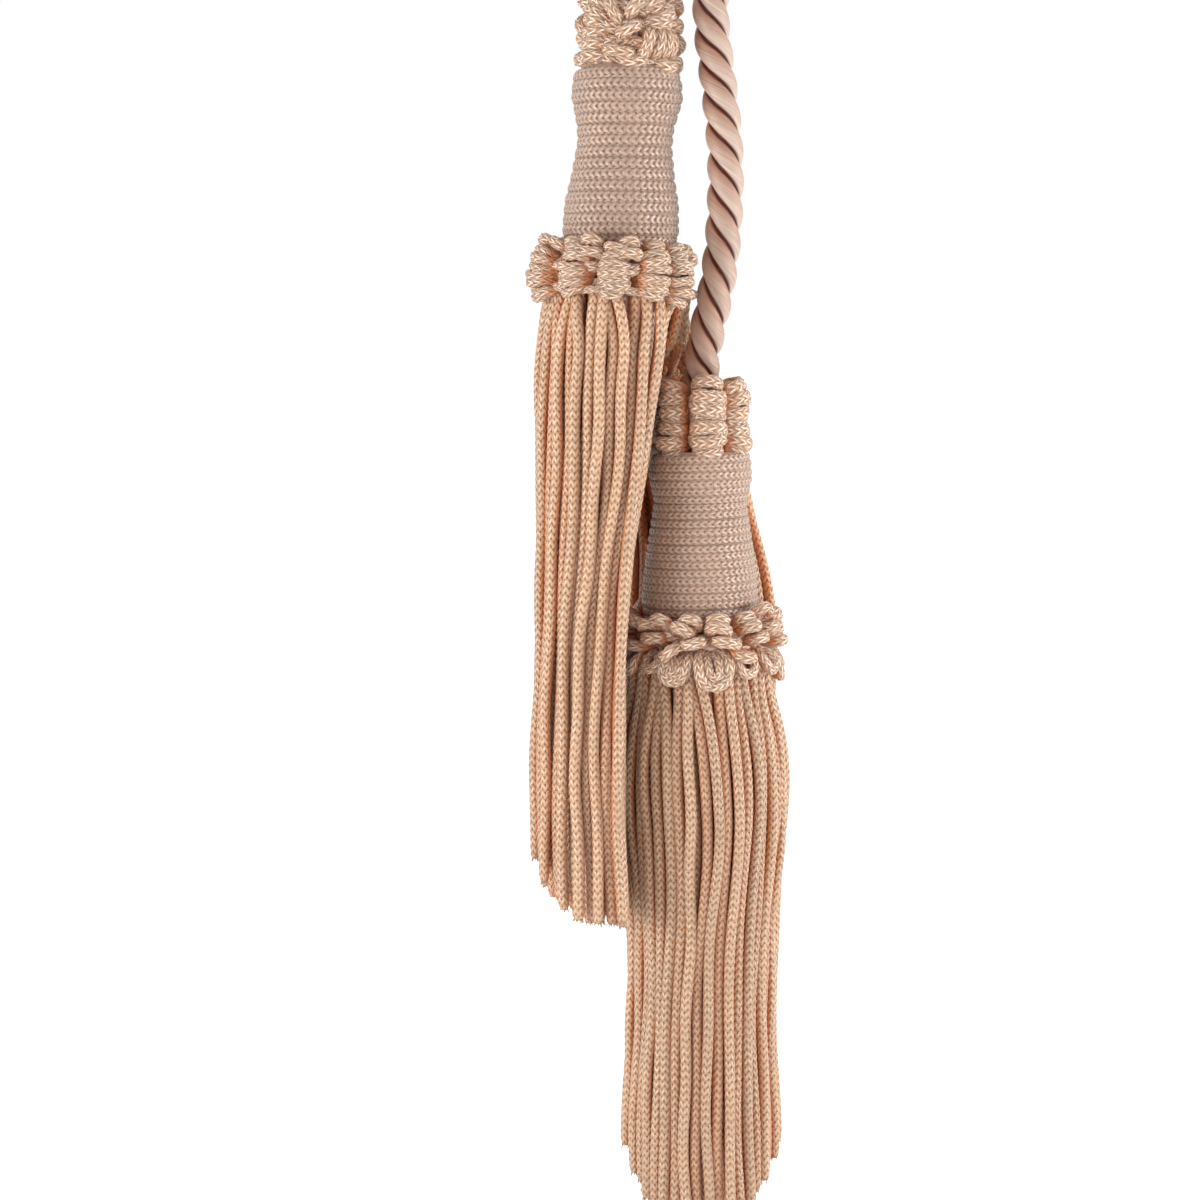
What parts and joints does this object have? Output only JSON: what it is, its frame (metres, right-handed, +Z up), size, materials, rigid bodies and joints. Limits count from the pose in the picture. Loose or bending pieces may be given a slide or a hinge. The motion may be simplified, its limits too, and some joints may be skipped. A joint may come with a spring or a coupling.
{
  "type": "double tassel on a twisted rope",
  "caption": "Pair of key tassels on one twisted rope with a hanging loop, each with a wound bottle-shaped head, ruffs of loops and a long skirt of strands.",
  "frame": {"origin": "inside the top of the rope's hanging loop, where the loop rests on what holds it up", "axes": "+Z is up, -Y is the front, and +X is to the right seen from the front"},
  "size_m": [0.0476, 0.044, 0.2694],
  "materials": {
    "rope": "three-ply satin rayon rope",
    "head": "rayon chainette wound over a mould",
    "ruff": "loops of rayon chainette",
    "skirt": "cut strands of rayon chainette"
  },
  "bodies": {
    "root": {"rope": "rope", "upper_head": "head", "upper_top_ruff": "ruff", "upper_collar": "ruff", "upper_skirt": "skirt", "lower_head": "head", "lower_top_ruff": "ruff", "lower_collar": "ruff", "lower_skirt": "skirt"}
  },
  "joints": []
}
